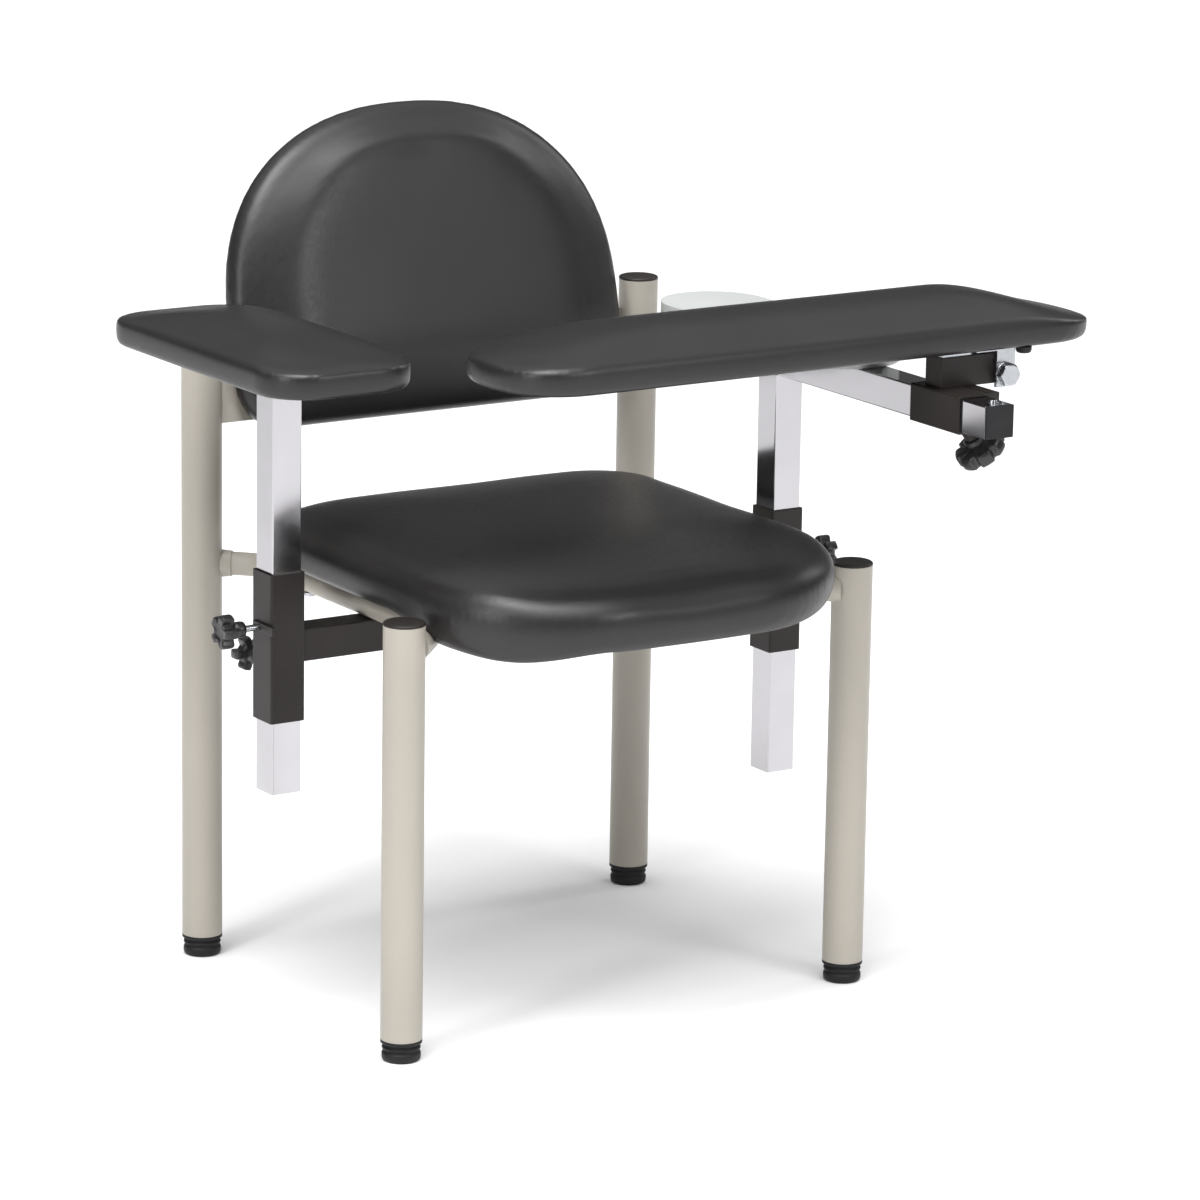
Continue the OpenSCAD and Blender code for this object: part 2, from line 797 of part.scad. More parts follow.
module slider_nut() {
  color(dark_colour) difference() {
    slider_stud_place() translate([0, 0, -slider_nut_len]) cylinder(r = slider_nut_r, h = 2 * slider_nut_len);
    translate([right_x - sleeve_s, slider_front - cut, slider_bottom])
      cube([2 * sleeve_s, slider_len, sleeve_s]);
    slider_stud_place() translate([0, 0, -2 * slider_nut_len])
      cylinder(r = stud_r + run_gap, h = 4 * slider_nut_len);
  }
}

module hinge_axis_place(y) {
  translate([hinge_x, y, hinge_z]) along_y() children();
}

module hinge_box() {
  color(dark_colour) difference() {
    translate([hinge_box_left, hinge_box_front, slider_top])
      cube([hinge_box_right - hinge_box_left, hinge_box_d, hinge_box_h]);
    translate([hinge_box_left + hinge_box_wall, hinge_box_front + hinge_box_wall,
        slider_top + hinge_box_wall])
      cube([hinge_box_right - hinge_box_left, hinge_box_d - 2 * hinge_box_wall,
        hinge_box_h - 2 * hinge_box_wall]);
    hinge_axis_place(hinge_box_front - cut) cylinder(r = hinge_bolt_r + run_gap, h = hinge_box_d + 2 * cut);
  }
}

module hinge_gusset() {
  color(dark_colour) translate([right_x + sleeve_s / 2, slider_front + cut, slider_top - gusset_h])
    cube([gusset_w, slider_len - hinge_box_d + hinge_box_wall, gusset_h]);
}

// Flip arm
module flip_place() {
  translate([flip_x, flip_y, flip_z]) rotate([0, 0, 90]) children();
}

module flip_screw_places() {
  for (x = [hinge_x - flip_screw_left, hinge_x + flip_screw_right])
    translate([x, (hinge_box_front + hinge_box_back) / 2, flip_z]) children();
}

module flip_board() {
  color(vinyl_colour) difference() {
    flip_place() linear_extrude(pad_board_t) polygon(bar_outline(flip_w, flip_len, pad_edge_in, pad_edge_in));
    flip_screw_places() translate([0, 0, -cut])
      cylinder(r = flip_screw_r + plug_gap, h = pad_board_t / 2 + cut);
  }
}

module flip_cushion() {
  across = cushion_insets(flip_w / 2);
  along = cushion_insets(flip_w / 2, flip_end_share);
  color(vinyl_colour) flip_place()
    pad_cushion([for (k = [0:len(across) - 1]) bar_outline(flip_w, flip_len, across[k], along[k])],
      flip_crown_h);
}

module ear(y) {
  translate([ear_left, y, hinge_z - ear_drop]) cube([ear_w, ear_t, flip_z - hinge_z + ear_drop]);
}

module flip_bracket() {
  front = hinge_box_front - ear_gap - ear_t;
  back = hinge_box_back + ear_gap;
  color(chrome_colour) difference() {
    union() {
      ear(front);
      ear(back);
      cube_from([web_left, front, flip_z - web_t], [ear_left + ear_w, back + ear_t, flip_z]);
    }
    hinge_axis_place(front - cut) cylinder(r = hinge_bolt_r + run_gap, h = back + ear_t - front + 2 * cut);
    flip_screw_places() translate([0, 0, -web_t - cut])
      cylinder(r = flip_screw_r + plug_gap, h = web_t + 2 * cut);
  }
}

// Strip under the board that rests on the free end of the hinge box
module flip_rest_strip() {
  color(chrome_colour) cube_from(
    [hinge_box_left + cut, hinge_box_front + cut, slider_top + hinge_box_h + soft_gap],
    [hinge_box_left + cut + rest_strip_l, hinge_box_front + cut + rest_strip_w, flip_z]);
}

module hinge_bolt() {
  front = hinge_box_front - ear_gap - ear_t;
  back = hinge_box_back + ear_gap + ear_t;
  color(chrome_colour) {
    hinge_axis_place(front - washer_t - bolt_head_h) hexagon(bolt_head_flats, bolt_head_h);
    hinge_axis_place(front - washer_t)
      cylinder(r = hinge_bolt_r, h = back - front + 2 * washer_t + nut_h + bolt_tail);
  }
}

module hinge_nut() {
  front = hinge_box_front - ear_gap - ear_t;
  back = hinge_box_back + ear_gap + ear_t;
  color(chrome_colour) difference() {
    union() {
      hinge_axis_place(front - washer_t) cylinder(r = washer_r, h = washer_t);
      hinge_axis_place(back) cylinder(r = washer_r, h = washer_t);
      hinge_axis_place(back + washer_t) hexagon(bolt_head_flats, nut_h);
    }
    hinge_axis_place(front - washer_t - cut) cylinder(r = hinge_bolt_r, h = 4 * hinge_box_d);
  }
}

module flip_screws() {
  color(chrome_colour) flip_screw_places() translate([0, 0, -web_t])
    cylinder(r = flip_screw_r, h = web_t + pad_board_t / 2 - run_gap);
}

module flip_bumper() {
  color(black_colour) translate([bumper_x, bumper_y, flip_z - bumper_h])
    cylinder(r1 = bumper_r - run_gap, r2 = bumper_r, h = bumper_h);
}

// Knobs: drawn with +Z pointing away from the tube that they clamp
module star(d, t) {
  r = d / 2;
  lobe = lobe_share * r;
  linear_extrude(t) {
    circle(core_share * r);
    for (a = [90:72:378]) rotate(a) {
      translate([r - lobe, 0]) circle(lobe, $fn = 24);
      translate([0, -lobe]) square([r - lobe, 2 * lobe]);
    }
  }
}

module knob(d, t, hub, hub_l, gap) {
  color(black_colour) difference() {
    union() {
      translate([0, 0, gap]) cylinder(r = hub, h = hub_l);
      translate([0, 0, gap + hub_l]) star(d, t);
    }
    translate([0, 0, gap - cut]) cylinder(r = stud_r, h = hub_l + cut);
  }
}

module stud(gap, hub_l, inset) {
  color(chrome_colour) translate([0, 0, -inset]) cylinder(r = stud_r, h = inset + gap + hub_l);
}

module sleeve_knob() {
  knob(knob_d, star_t, hub_r, hub_len, stud_show);
}

module sleeve_stud() {
  stud(stud_show, hub_len, sleeve_wall);
}

module knob_left_side() {
  side_stud_place(-left_x, -1) sleeve_knob();
}

module stud_left_side() {
  side_stud_place(-left_x, -1) sleeve_stud();
}

module knob_left_rear() {
  rear_stud_place(-left_x) sleeve_knob();
}

module stud_left_rear() {
  rear_stud_place(-left_x) sleeve_stud();
}

module knob_right_side() {
  side_stud_place(right_x, 1) sleeve_knob();
}

module stud_right_side() {
  side_stud_place(right_x, 1) sleeve_stud();
}

module knob_right_rear() {
  rear_stud_place(right_x) sleeve_knob();
}

module stud_right_rear() {
  rear_stud_place(right_x) sleeve_stud();
}

module knob_slider() {
  slider_stud_place() knob(slider_knob_d, slider_star_t, slider_hub_r, slider_hub_len, slider_stud_show);
}

module stud_slider() {
  slider_stud_place() stud(slider_stud_show, slider_hub_len,
    (sleeve_wall - stud_r * sin(slider_knob_tilt)) / cos(slider_knob_tilt));
}

leg(-1, -1, front_leg_top);  // leg_front_left
leg(1, -1, front_leg_top);  // leg_front_right
leg(-1, 1, rear_leg_top);  // leg_rear_left
leg(1, 1, rear_leg_top);  // leg_rear_right
leg_caps();
glide(-1, -1);  // glide_front_left
glide(1, -1);  // glide_front_right
glide(-1, 1);  // glide_rear_left
glide(1, 1);  // glide_rear_right
side_rail_left();
side_rail_right();
cross_rail_front();
cross_rail_rear();
cross_tube();
sleeve_left();
sleeve_right();
sleeve_nuts();
seat_board();
seat_cushion();
seat_screws();
back_board();
back_cushion();
back_brackets();
back_bolts();
left_upright();
left_pad_plate();
left_pad_board();
left_pad_cushion();
left_pad_screws();
right_upright();
arm_tube();
arm_tube_plugs();
side_plate();
side_plate_screws();
stop_screw();
slider_sleeve();
slider_nut();
hinge_box();
hinge_gusset();
flip_board();
flip_cushion();
flip_bracket();
flip_rest_strip();
hinge_bolt();
hinge_nut();
flip_screws();
flip_bumper();
knob_left_side();
stud_left_side();
knob_left_rear();
stud_left_rear();
knob_right_side();
stud_right_side();
knob_right_rear();
stud_right_rear();
knob_slider();
stud_slider();
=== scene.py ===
"""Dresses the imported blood-draw chair: covers, knobs, glides, finishes, floor, light and camera."""
import json
import math

import bpy
import numpy as np
from mathutils import Matrix, Vector


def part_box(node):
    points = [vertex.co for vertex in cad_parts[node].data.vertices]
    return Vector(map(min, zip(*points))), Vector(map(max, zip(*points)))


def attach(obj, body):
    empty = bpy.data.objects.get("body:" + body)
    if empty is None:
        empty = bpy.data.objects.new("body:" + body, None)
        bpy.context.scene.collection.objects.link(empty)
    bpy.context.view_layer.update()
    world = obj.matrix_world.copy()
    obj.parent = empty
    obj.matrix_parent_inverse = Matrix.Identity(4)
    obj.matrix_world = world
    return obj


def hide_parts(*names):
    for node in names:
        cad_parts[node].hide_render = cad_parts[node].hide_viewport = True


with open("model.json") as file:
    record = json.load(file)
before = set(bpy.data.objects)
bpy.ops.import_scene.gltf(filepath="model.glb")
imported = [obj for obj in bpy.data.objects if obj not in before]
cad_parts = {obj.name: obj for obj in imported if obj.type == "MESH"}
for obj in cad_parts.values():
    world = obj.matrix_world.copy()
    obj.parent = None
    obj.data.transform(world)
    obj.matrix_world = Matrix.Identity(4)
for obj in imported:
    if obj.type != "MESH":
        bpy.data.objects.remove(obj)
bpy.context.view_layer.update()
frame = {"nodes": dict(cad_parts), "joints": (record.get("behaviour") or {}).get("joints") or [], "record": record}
SLOT_OF = {s["node"]: s["material_slot"] for s in frame["record"]["subparts"]}
BODY_OF = {n: b for b, ns in frame["record"]["behaviour"]["bodies"].items() for n in ns}


# Finishes: one function for each, all procedural, in the object's own coordinates and in metres.

class Nodes:
    """A short way to write one material's nodes."""

    def __init__(self, name):
        self.material = bpy.data.materials.new(name)
        self.material.use_nodes = True
        self.tree = self.material.node_tree
        self.shader = next(n for n in self.tree.nodes if n.type == "BSDF_PRINCIPLED")
        self.place = self.add("ShaderNodeTexCoord").outputs["Object"]

    def add(self, kind, **inputs):
        node = self.tree.nodes.new(kind)
        for key, value in inputs.items():
            self.set(node.inputs[key.replace("_", " ")], value)
        return node

    def set(self, socket, value):
        if isinstance(value, bpy.types.NodeSocket):
            self.tree.links.new(value, socket)
        else:
            socket.default_value = value

    def shade(self, **inputs):
        for key, value in inputs.items():
            self.set(self.shader.inputs[key.replace("_", " ")], value)

    def stretched(self, scale):
        return self.add("ShaderNodeMapping", Vector=self.place, Scale=scale).outputs[0]

    def noise(self, scale, detail=3.0, vector=None):
        node = self.add("ShaderNodeTexNoise", Vector=vector or self.place, Scale=scale,
                        Detail=detail)
        return node.outputs["Fac"]

    def cells(self, scale):
        return self.add("ShaderNodeTexVoronoi", Vector=self.place, Scale=scale).outputs["Distance"]

    def spread(self, value, low, high, start=0.3, end=0.7):
        """The value's range from start to end, spread over low to high."""
        node = self.add("ShaderNodeMapRange", Value=value, From_Min=start, From_Max=end,
                        To_Min=low, To_Max=high)
        return node.outputs[0]

    def mix(self, share, a, b):
        node = self.tree.nodes.new("ShaderNodeMix")
        node.data_type = "RGBA"
        color_sockets = [i for i in node.inputs if i.type == "RGBA"]
        self.set(node.inputs[0], share)
        self.set(color_sockets[0], a)
        self.set(color_sockets[1], b)
        return next(o for o in node.outputs if o.type == "RGBA")

    def tint(self, share, color, dark, light):
        """Colour that wanders between a darker and a lighter tone, as share does."""
        wander = self.spread(share, low=0.0, high=1.0)
        return self.mix(wander, tone(color, dark), tone(color, light))

    def bump(self, height, depth, strength=1.0, normal=None):
        node = self.add("ShaderNodeBump", Height=height, Distance=depth, Strength=strength)
        if normal is not None:
            self.set(node.inputs["Normal"], normal)
        return node.outputs[0]

    def soft_edges(self, radius):
        return self.add("ShaderNodeBevel", Radius=radius).outputs[0]


def tone(color, factor):
    return (color[0] * factor, color[1] * factor, color[2] * factor, 1.0)


def frame_paint():
    """Satin powder coat with a fine orange peel and a few darker specks."""
    n = Nodes("frame_paint")
    color = (0.370, 0.342, 0.296)
    peel = n.noise(scale=900.0, detail=2.0)
    drift = n.noise(scale=6.0, detail=4.0)
    specks = n.spread(n.noise(scale=2600.0, detail=1.0), low=0.0, high=1.0, start=0.62, end=0.75)
    paint = n.tint(drift, color, dark=0.94, light=1.05)
    n.shade(Base_Color=n.mix(specks, paint, tone(color, factor=0.86)),
            Roughness=n.spread(drift, low=0.36, high=0.46),
            Normal=n.bump(peel, depth=0.0002, strength=0.35, normal=n.soft_edges(radius=0.0008)))
    return n.material


def dark_paint():
    n = Nodes("dark_paint")
    drift = n.noise(scale=9.0, detail=4.0)
    peel = n.noise(scale=800.0, detail=2.0)
    n.shade(Base_Color=n.tint(drift, (0.0170, 0.0138, 0.0125), dark=0.85, light=1.2),
            Roughness=n.spread(drift, low=0.40, high=0.52), Specular_IOR_Level=0.30,
            Normal=n.bump(peel, depth=0.0002, strength=0.4, normal=n.soft_edges(radius=0.0010)))
    return n.material


def black_rubber():
    n = Nodes("black_rubber")
    drift = n.noise(scale=40.0, detail=4.0)
    grain = n.noise(scale=1500.0, detail=2.0)
    n.shade(Base_Color=n.tint(drift, (0.011, 0.011, 0.012), dark=0.8, light=1.5),
            Roughness=n.spread(drift, low=0.48, high=0.62), Specular_IOR_Level=0.25,
            Normal=n.bump(grain, depth=0.0002, strength=0.3, normal=n.soft_edges(radius=0.0006)))
    return n.material


def chromed_tube():
    """Chrome plate with the faint drawing lines of the tube under it."""
    n = Nodes("chromed_tube")
    haze = n.noise(scale=25.0, detail=5.0)
    lines = n.noise(scale=60.0, detail=3.0, vector=n.stretched(scale=(30.0, 30.0, 1.5)))
    n.shade(Base_Color=n.tint(haze, (0.455, 0.445, 0.462), dark=0.95, light=1.03), Metallic=1.0,
            Roughness=n.spread(haze, low=0.09, high=0.16),
            Normal=n.bump(lines, depth=0.0001, strength=0.05, normal=n.soft_edges(radius=0.0008)))
    return n.material


def plated_steel():
    n = Nodes("plated_steel")
    haze = n.noise(scale=120.0, detail=4.0)
    n.shade(Base_Color=n.tint(haze, (0.46, 0.472, 0.495), dark=0.9, light=1.1), Metallic=1.0,
            Roughness=n.spread(haze, low=0.18, high=0.32),
            Normal=n.bump(haze, depth=0.0001, strength=0.2, normal=n.soft_edges(radius=0.0006)))
    return n.material


def black_vinyl():
    """Upholstery vinyl: pores with painted shade in their hollows, a mottled gloss and very shallow folds."""
    n = Nodes("black_vinyl")
    color = (0.0150, 0.0138, 0.0143)
    drift = n.noise(scale=7.0, detail=3.0)
    mottle = n.noise(scale=220.0, detail=3.0)
    pores = n.spread(n.cells(scale=1100.0), low=0.0, high=1.0, start=0.05, end=0.55)
    folds = n.bump(n.noise(scale=14.0, detail=2.0), depth=0.0020, strength=0.10)
    waves = n.bump(mottle, depth=0.0003, strength=0.12, normal=folds)
    # Painted shade: the base colour is darkened in the pores' hollows, where the bump sinks them
    painted_pore_shade = n.spread(pores, low=0.25, high=0.0, start=0.0, end=0.5)
    tint = n.tint(drift, color, dark=0.88, light=1.14)
    n.shade(Base_Color=n.mix(painted_pore_shade, tint, tone(color, factor=0.7)),
            Roughness=n.spread(mottle, low=0.33, high=0.39), Specular_IOR_Level=0.43,
            Normal=n.bump(pores, depth=0.00012, strength=0.35, normal=waves))
    return n.material


def knob_plastic():
    n = Nodes("knob_plastic")
    drift = n.noise(scale=60.0, detail=3.0)
    grain = n.noise(scale=1800.0, detail=2.0)
    n.shade(Base_Color=n.tint(drift, (0.014, 0.014, 0.015), dark=0.8, light=1.4),
            Roughness=n.spread(drift, low=0.28, high=0.40),
            Normal=n.bump(grain, depth=0.0001, strength=0.25, normal=n.soft_edges(radius=0.0006)))
    return n.material


def plate_laminate():
    n = Nodes("plate_laminate")
    drift = n.noise(scale=5.0, detail=3.0)
    grain = n.noise(scale=700.0, detail=2.0)
    n.shade(Base_Color=n.tint(drift, (0.50, 0.516, 0.502), dark=0.96, light=1.03),
            Roughness=n.spread(drift, low=0.30, high=0.38),
            Normal=n.bump(grain, depth=0.0001, strength=0.2, normal=n.soft_edges(radius=0.0015)))
    return n.material


FINISHES = {make.__name__: make() for make in (
    frame_paint, dark_paint, black_rubber, chromed_tube, plated_steel, black_vinyl, knob_plastic,
    plate_laminate)}


# Ways to make a piece.

def finish_piece(obj, body, slot, replaces=(), smooth=True):
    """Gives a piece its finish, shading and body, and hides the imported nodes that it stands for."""
    obj.data.materials.clear()
    obj.data.materials.append(FINISHES[slot])
    obj.data.polygons.foreach_set("use_smooth", [smooth] * len(obj.data.polygons))
    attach(obj, body)
    if replaces:
        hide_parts(*replaces)


def new_object(name, points, faces):
    mesh = bpy.data.meshes.new(name)
    mesh.from_pydata([tuple(p) for p in points], [], faces)
    mesh.validate()
    mesh.update()
    obj = bpy.data.objects.new(name, mesh)
    bpy.context.scene.collection.objects.link(obj)
    return obj


def loft(name, rings):
    """Skin over rings of the same count, closed at each end by the ring's middle."""
    count = len(rings[0])
    points = [p for ring in rings for p in ring]
    faces = [(k * count + i, k * count + (i + 1) % count,
              (k + 1) * count + (i + 1) % count, (k + 1) * count + i)
             for k in range(len(rings) - 1) for i in range(count)]
    last = (len(rings) - 1) * count
    points += [np.mean(rings[0], axis=0), np.mean(rings[-1], axis=0)]
    faces += [((i + 1) % count, i, len(points) - 2) for i in range(count)]
    faces += [(last + i, last + (i + 1) % count, len(points) - 1) for i in range(count)]
    return new_object(name, points, faces)


def place_along(origin, direction):
    """Matrix that puts a shape drawn along +Z at origin, pointing along direction."""
    turn = Vector(direction).to_track_quat("Z", "Y").to_matrix().to_4x4()
    return Matrix.Translation(origin) @ turn


def circle(steps):
    return np.linspace(0, 2 * math.pi, steps, endpoint=False)


def lathe(name, profile, matrix, steps=48):
    """Round piece from (radius, height) points, from the lower end to the upper end."""
    rings = [[matrix @ Vector((r * math.cos(a), r * math.sin(a), z)) for a in circle(steps)]
             for r, z in profile]
    return loft(name, rings)


def join(name, pieces):
    bpy.ops.object.select_all(action="DESELECT")
    for other in pieces:
        other.select_set(True)
    bpy.context.view_layer.objects.active = pieces[0]
    bpy.ops.object.join()
    pieces[0].select_set(False)
    pieces[0].name = name
    return pieces[0]


def box_middle(low, high):
    return (low.x + high.x) / 2, (low.y + high.y) / 2


def ramp(x, start, end):
    """0 up to start and 1 from end on, with a soft rise between them."""
    t = np.clip((x - start) / (end - start), 0, 1)
    return t * t * (3 - 2 * t)


def arc(cx, cy, r, start, end, steps):
    return [(cx + r * math.cos(a), cy + r * math.sin(a))
            for a in np.radians(np.linspace(start, end, steps))]


OUTLINE_POINTS = 240
CORNER_POINTS = 24


def even(points):
    """The closed outline again, with points at even steps."""
    p = np.array(points + points[:1])
    run = np.concatenate([[0], np.cumsum(np.linalg.norm(np.diff(p, axis=0), axis=1))])
    at = np.linspace(0, run[-1], OUTLINE_POINTS, endpoint=False)
    return np.stack([np.interp(at, run, p[:, 0]), np.interp(at, run, p[:, 1])], 1)


def rounded_outline(x0, x1, y0, y1, r0, r1):
    """Rounded rectangle, with corner radius r0 at the low y end and r1 at the high y end."""
    corners = ((x1 - r0, y0 + r0, r0, -90), (x1 - r1, y1 - r1, r1, 0),
               (x0 + r1, y1 - r1, r1, 90), (x0 + r0, y0 + r0, r0, 180))
    return even([point for cx, cy, r, start in corners
                 for point in arc(cx, cy, r, start, start + 90, CORNER_POINTS)])


PROFILE_STEP = 0.0025


def smooth_profile(points):
    """A smooth curve through (inset, height) points, sampled about every PROFILE_STEP."""
    p = np.array([points[0]] + list(points) + [points[-1]], float)
    out = []
    for a, b, c, d in zip(p, p[1:], p[2:], p[3:]):
        count = max(1, int(round(np.linalg.norm(c - b) / PROFILE_STEP)))
        for t in np.arange(count) / count:
            out.append(0.5 * (2 * b + (c - a) * t + (2 * a - 5 * b + 4 * c - d) * t * t
                              + (3 * b - 3 * c + d - a) * t ** 3))
    return [tuple(q) for q in out] + [tuple(p[-1])]


# Cushions: covers shaped from rings, then swollen as cloth.

SIM_FRAMES = 20
PRESSURE = 3.0
STRETCH_STIFFNESS, BEND_STIFFNESS = 12, 4
EASE_ROUNDS = 60
WIDE_VOXEL, FINE_VOXEL = 0.0045, 0.0036
SWELL = 0.0015      # the covers start this much smaller, because they swell
SMOOTH_FACTOR = 0.5
TINY = 1e-9


def points_of(obj):
    co = np.empty(len(obj.data.vertices) * 3, np.float32)
    obj.data.vertices.foreach_get("co", co)
    return co.reshape(-1, 3).astype(float)


def set_points(obj, points):
    obj.data.vertices.foreach_set("co", points.astype(np.float32).ravel())
    obj.data.update()


def evaluated(obj):
    return obj.evaluated_get(bpy.context.evaluated_depsgraph_get())


def apply_modifiers(obj):
    result = bpy.data.meshes.new_from_object(evaluated(obj))
    obj.modifiers.clear()
    obj.data = result


def ease(obj, values):
    """Averages the values of neighbouring points, so that only the broad swelling is left."""
    ends = np.empty(len(obj.data.edges) * 2, np.int32)
    obj.data.edges.foreach_get("vertices", ends)
    a, b = ends.reshape(-1, 2).T
    count = len(values)
    near = np.maximum(np.bincount(a, minlength=count) + np.bincount(b, minlength=count), 1)[:, None]
    for _ in range(EASE_ROUNDS):
        total = np.stack([np.bincount(a, values[b, k], count) + np.bincount(b, values[a, k], count)
                          for k in range(3)], axis=1)
        values = 0.5 * (values + total / near)
    return values


def settle(obj, cap, pinned, voxel):
    """Remeshes a cushion, swells it as cloth under pressure, and keeps every point within cap."""
    modifier = obj.modifiers.new("even", "REMESH")
    modifier.mode = "VOXEL"
    modifier.voxel_size = voxel
    apply_modifiers(obj)
    rest = points_of(obj)
    pins = obj.vertex_groups.new(name="pins")
    for index in np.nonzero(pinned(rest))[0]:
        pins.add([int(index)], 1.0, "REPLACE")
    cloth = obj.modifiers.new("cloth", "CLOTH")
    cloth.settings.use_pressure = True
    cloth.settings.uniform_pressure_force = PRESSURE
    cloth.settings.tension_stiffness = STRETCH_STIFFNESS
    cloth.settings.compression_stiffness = STRETCH_STIFFNESS
    cloth.settings.bending_stiffness = BEND_STIFFNESS
    cloth.settings.effector_weights.gravity = 0
    cloth.settings.vertex_group_mass = "pins"
    cloth.point_cache.frame_end = SIM_FRAMES
    for number in range(1, SIM_FRAMES + 1):
        bpy.context.scene.frame_set(number)
    moved = points_of(evaluated(obj)) - rest
    bpy.context.scene.frame_set(1)
    length = np.linalg.norm(moved, axis=1, keepdims=True)
    moved *= np.minimum(1, cap / np.maximum(length, TINY))
    moved = ease(obj, moved)
    obj.modifiers.remove(cloth)
    obj.vertex_groups.clear()
    set_points(obj, rest + moved)


def polish(obj, rounds):
    """Takes the remesh's small steps out of the cover and adds points for a round edge."""
    modifier = obj.modifiers.new("soften", "SMOOTH")
    modifier.factor = SMOOTH_FACTOR
    modifier.iterations = rounds
    apply_modifiers(obj)
    finer = obj.modifiers.new("finer", "SUBSURF")
    finer.levels = finer.render_levels = 1


# (inset, height above the underside) in metres: underside, rolled edge, then up to the middle
SEAT_PROFILE = (
    (0.060, 0.0), (0.030, 0.0), (0.019, 0.0015), (0.010, 0.006), (0.004, 0.012), (0.001, 0.019),
    (0.0, 0.0255), (0.0015, 0.0315), (0.0055, 0.0370), (0.011, 0.0412), (0.019, 0.0450),
    (0.030, 0.0484), (0.045, 0.0515), (0.065, 0.0545), (0.095, 0.0577), (0.130, 0.0599),
    (0.185, 0.0610))
SEAT_WIDEST_HEIGHT = min(SEAT_PROFILE)[1]
# Each end's corner radius, its loss for each metre of inset, and its least share of the half width
SEAT_FRONT_CORNER = (0.148, 0.8, 0.42)
SEAT_REAR_CORNER = (0.078, 0.5, 0.34)
# Share of the inset that the underside takes at the front and at the rear
SEAT_UNDER_FRONT, SEAT_UNDER_REAR = 0.40, 0.65
SEAT_CAP, SEAT_PIN_HEIGHT, SEAT_SMOOTHING = 0.004, 0.005, 5
# Sag over the front edge, for the whole cover and more for its lower part
SEAT_SAG, SEAT_LOW_SAG, SEAT_SAG_Y = 0.005, 0.006, (0.17, 0.30)
SEAT_LOW_HEIGHTS = (0.004, 0.045)
# Deeper lower edge at the front left corner, and the fuller left side, as the photograph shows them
SEAT_CORNER_SAG, SEAT_CORNER_X, SEAT_CORNER_Y = 0.015, (0.09, 0.18), (0.10, 0.19)
SEAT_LEFT_BULGE, SEAT_LEFT_X = 0.008, (0.08, 0.20)


def corner_radius(corner, inset, half):
    radius, loss, least = corner
    return max(radius - inset * loss, least * half)


def seat_cover():
    board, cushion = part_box("seat_board"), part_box("seat_cushion")
    half, front, rear = cushion[1].x - SWELL, cushion[0].y + SWELL, cushion[1].y - SWELL
    under = board[0].z
    fit = (cushion[1].z - under - SWELL) / SEAT_PROFILE[-1][1]
    rings = []
    for inset, height in smooth_profile(SEAT_PROFILE):
        low = height < SEAT_WIDEST_HEIGHT
        x = half - inset
        y0 = front + inset * (SEAT_UNDER_FRONT if low else 1.0)
        y1 = rear - inset * (SEAT_UNDER_REAR if low else 1.0)
        ring = rounded_outline(-x, x, y0, y1, corner_radius(SEAT_FRONT_CORNER, inset, x),
                               corner_radius(SEAT_REAR_CORNER, inset, x))
        rings.append([(px, py, under + height * fit) for px, py in ring])
    obj = loft("seat_cover", rings)
    settle(obj, SEAT_CAP, lambda p: p[:, 2] < under + SEAT_PIN_HEIGHT, WIDE_VOXEL)
    p = points_of(obj)
    low_share = 1 - ramp(p[:, 2], under + SEAT_LOW_HEIGHTS[0], under + SEAT_LOW_HEIGHTS[1])
    p[:, 2] -= ramp(-p[:, 1], *SEAT_SAG_Y) * (SEAT_SAG + SEAT_LOW_SAG * low_share)
    p[:, 2] -= (SEAT_CORNER_SAG * low_share * ramp(-p[:, 0], *SEAT_CORNER_X)
                * ramp(-p[:, 1], *SEAT_CORNER_Y))
    p[:, 0] -= SEAT_LEFT_BULGE * ramp(-p[:, 0], *SEAT_LEFT_X)
    set_points(obj, p)
    polish(obj, SEAT_SMOOTHING)
    return obj


# The back's lean, the place of its lower rear edge, its height along the slope, and its arch
BACK_LEAN = math.radians(14.5)
BACK_REAR_Y, BACK_BOTTOM_Z = 0.169, 0.502
BACK_HEIGHT, BACK_ARCH, BACK_ARCH_POWER, BACK_ARCH_POINTS = 0.302, 0.195, 2.25, 73
BACK_CORNER, BACK_LEAST_CORNER, BACK_CORNER_POINTS = 0.046, 0.45, 10
# Past BACK_EDGE, the top of the arch is drawn in by only this share of the sides' inset
BACK_EDGE, BACK_TOP_SHARE = 0.02, 0.30
# (inset, depth in front of the rear face): rolled edge, sloping shoulder and nearly flat middle
BACK_PROFILE = (
    (0.040, 0.0), (0.012, 0.0), (0.005, 0.0008), (0.0022, 0.003), (0.0004, 0.008), (0.0002, 0.013),
    (0.0012, 0.0180), (0.0040, 0.0225), (0.0085, 0.0260), (0.015, 0.0286), (0.023, 0.0312),
    (0.034, 0.0340), (0.045, 0.0369), (0.054, 0.0393), (0.062, 0.0411), (0.072, 0.0422),
    (0.086, 0.0428), (0.118, 0.0430), (0.156, 0.0430))
BACK_CAP, BACK_PIN_DEPTH, BACK_SMOOTHING = 0.003, 0.004, 5


def back_matrix():
    """From the back's own frame (across, along, towards the sitter) to the chair's frame."""
    along = Vector((0, math.sin(BACK_LEAN), math.cos(BACK_LEAN)))
    out = Vector((0, -math.cos(BACK_LEAN), math.sin(BACK_LEAN)))
    turn = Matrix(((1, 0, 0), along, out)).transposed().to_4x4()
    return Matrix.Translation((0, BACK_REAR_Y, BACK_BOTTOM_Z)) @ turn


